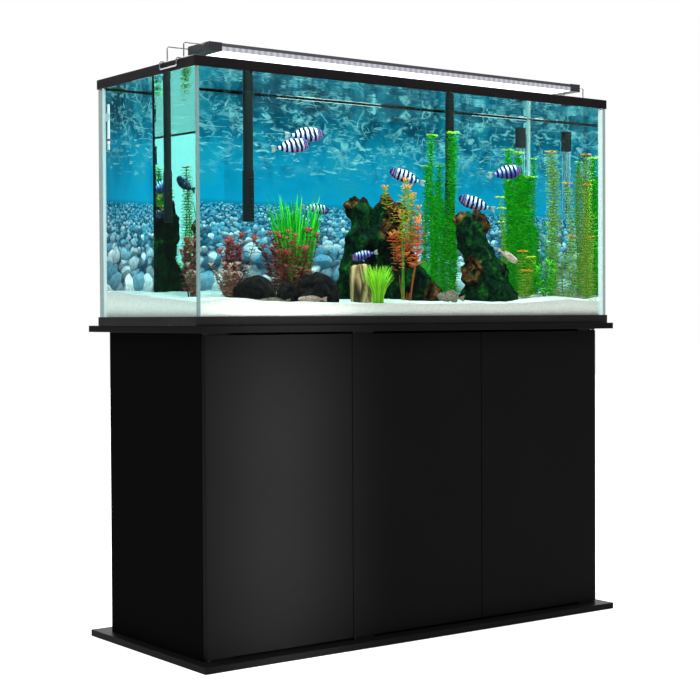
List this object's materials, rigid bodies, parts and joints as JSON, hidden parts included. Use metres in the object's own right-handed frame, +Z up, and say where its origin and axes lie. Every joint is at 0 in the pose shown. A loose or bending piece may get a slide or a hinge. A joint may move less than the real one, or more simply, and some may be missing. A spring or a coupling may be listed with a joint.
{
  "type": "aquarium on stand",
  "caption": "Long glass fish tank with planted scene, LED light and filters, on a black cabinet stand with push-latch doors.",
  "frame": {"origin": "on the floor, under the middle of the object's width and of the tank's depth", "axes": "+X to the right as seen from the front, +Y to the back, +Z up"},
  "size_m": [1.24, 0.568, 1.35],
  "materials": {
    "black_laminate": "satin black laminate",
    "black_door": "satin black laminate",
    "glass_pane": "clear float glass with green edges",
    "clear_silicone": "clear silicone",
    "frame_plastic": "gloss black plastic",
    "film": "printed background film",
    "zinc": "zinc plated steel",
    "nylon": "natural nylon",
    "rubber_black": "black rubber",
    "latch_plastic": "grey plastic",
    "light_metal": "anodised aluminium",
    "diffuser": "frosted acrylic",
    "circuit_board": "white circuit board",
    "cap_plastic": "black plastic",
    "wire": "stainless wire",
    "filter_plastic": "black plastic",
    "filter_pad": "polyester floss",
    "impeller_plastic": "white plastic",
    "heater_glass": "quartz glass with its element",
    "thermometer_glass": "glass thermometer",
    "sand": "fine white sand",
    "rock": "dark rough stone",
    "driftwood": "mossy driftwood",
    "log_wood": "streaked brown wood",
    "green_leaf": "green leaves",
    "red_leaf": "red leaves"
  },
  "bodies": {
    "aquarium": {"base_board": "black_laminate", "top_board": "black_laminate", "left_side_panel": "black_laminate", "right_side_panel": "black_laminate", "left_partition": "black_laminate", "right_partition": "black_laminate", "back_panel": "black_laminate", "back_rail": "black_laminate", "carcass_screws": "zinc", "hinge_plates": "zinc", "hinge_washers": "nylon", "latch_housings": "latch_plastic", "door_bumpers": "rubber_black", "front_pane": "glass_pane", "back_pane": "glass_pane", "left_pane": "glass_pane", "right_pane": "glass_pane", "bottom_pane": "glass_pane", "silicone_seams": "clear_silicone", "top_frame": "frame_plastic", "bottom_frame": "frame_plastic", "background_film": "film", "left_filter_case": "filter_plastic", "right_filter_case": "filter_plastic", "left_filter_intake": "filter_plastic", "right_filter_intake": "filter_plastic", "filter_strainers": "filter_plastic", "filter_motors": "filter_plastic", "filter_cartridges": "filter_pad", "heater_tube": "heater_glass", "heater_cap": "rubber_black", "thermometer": "thermometer_glass", "sand_bed": "sand", "rocks": "rock", "driftwood_left": "driftwood", "driftwood_right": "driftwood", "driftwood_log": "log_wood", "green_plants": "green_leaf", "red_plants": "red_leaf"},
    "left_door": {"left_door": "black_door", "left_door_hinge_plates": "zinc"},
    "centre_door": {"centre_door": "black_door", "centre_door_hinge_plates": "zinc"},
    "right_door": {"right_door": "black_door", "right_door_hinge_plates": "zinc"},
    "left_latch": {"left_latch_plunger": "latch_plastic"},
    "centre_latch": {"centre_latch_plunger": "latch_plastic"},
    "right_latch": {"right_latch_plunger": "latch_plastic"},
    "light": {"light_housing": "light_metal", "light_diffuser": "diffuser", "led_board": "circuit_board", "left_end_cap": "cap_plastic", "right_end_cap": "cap_plastic"},
    "left_bracket": {"left_light_bracket": "wire"},
    "right_bracket": {"right_light_bracket": "wire"},
    "left_lid": {"left_filter_lid": "filter_plastic"},
    "right_lid": {"right_filter_lid": "filter_plastic"},
    "left_impeller": {"left_filter_impeller": "impeller_plastic"},
    "right_impeller": {"right_filter_impeller": "impeller_plastic"}
  },
  "joints": [
    {"name": "left_door_swing", "type": "hinge", "parent": "aquarium", "child": "left_door", "pos_m": [-0.58, -0.203, 0.368], "axis": [0, 0, -1], "range_deg": [0, 110]},
    {"name": "centre_door_swing", "type": "hinge", "parent": "aquarium", "child": "centre_door", "pos_m": [-0.18833, -0.203, 0.368], "axis": [0, 0, -1], "range_deg": [0, 95]},
    {"name": "right_door_swing", "type": "hinge", "parent": "aquarium", "child": "right_door", "pos_m": [0.58, -0.203, 0.368], "axis": [0, 0, 1], "range_deg": [0, 110]},
    {"name": "left_latch_press", "type": "slide", "parent": "aquarium", "child": "left_latch", "axis": [0, 1, 0], "range_m": [0, 0.0015], "stiffness_N_per_m": 250},
    {"name": "centre_latch_press", "type": "slide", "parent": "aquarium", "child": "centre_latch", "axis": [0, 1, 0], "range_m": [0, 0.0015], "stiffness_N_per_m": 250},
    {"name": "right_latch_press", "type": "slide", "parent": "aquarium", "child": "right_latch", "axis": [0, 1, 0], "range_m": [0, 0.0015], "stiffness_N_per_m": 250},
    {"name": "light_lift_off", "type": "slide", "parent": "aquarium", "child": "light", "axis": [0, 0, 1], "range_m": [0, 0.15]},
    {"name": "left_bracket_reach", "type": "slide", "parent": "light", "child": "left_bracket", "axis": [-1, 0, 0], "range_m": [0, 0.02]},
    {"name": "right_bracket_reach", "type": "slide", "parent": "light", "child": "right_bracket", "axis": [1, 0, 0], "range_m": [0, 0.015]},
    {"name": "left_lid_lift", "type": "slide", "parent": "aquarium", "child": "left_lid", "axis": [0, 0, 1], "range_m": [0, 0.06]},
    {"name": "right_lid_lift", "type": "slide", "parent": "aquarium", "child": "right_lid", "axis": [0, 0, 1], "range_m": [0, 0.06]},
    {"name": "left_impeller_turn", "type": "hinge", "parent": "aquarium", "child": "left_impeller", "pos_m": [-0.306, 0.274, 1.17], "axis": [0, 0, 1], "continuous": true},
    {"name": "right_impeller_turn", "type": "hinge", "parent": "aquarium", "child": "right_impeller", "pos_m": [0.306, 0.274, 1.17], "axis": [0, 0, 1], "continuous": true}
  ]
}
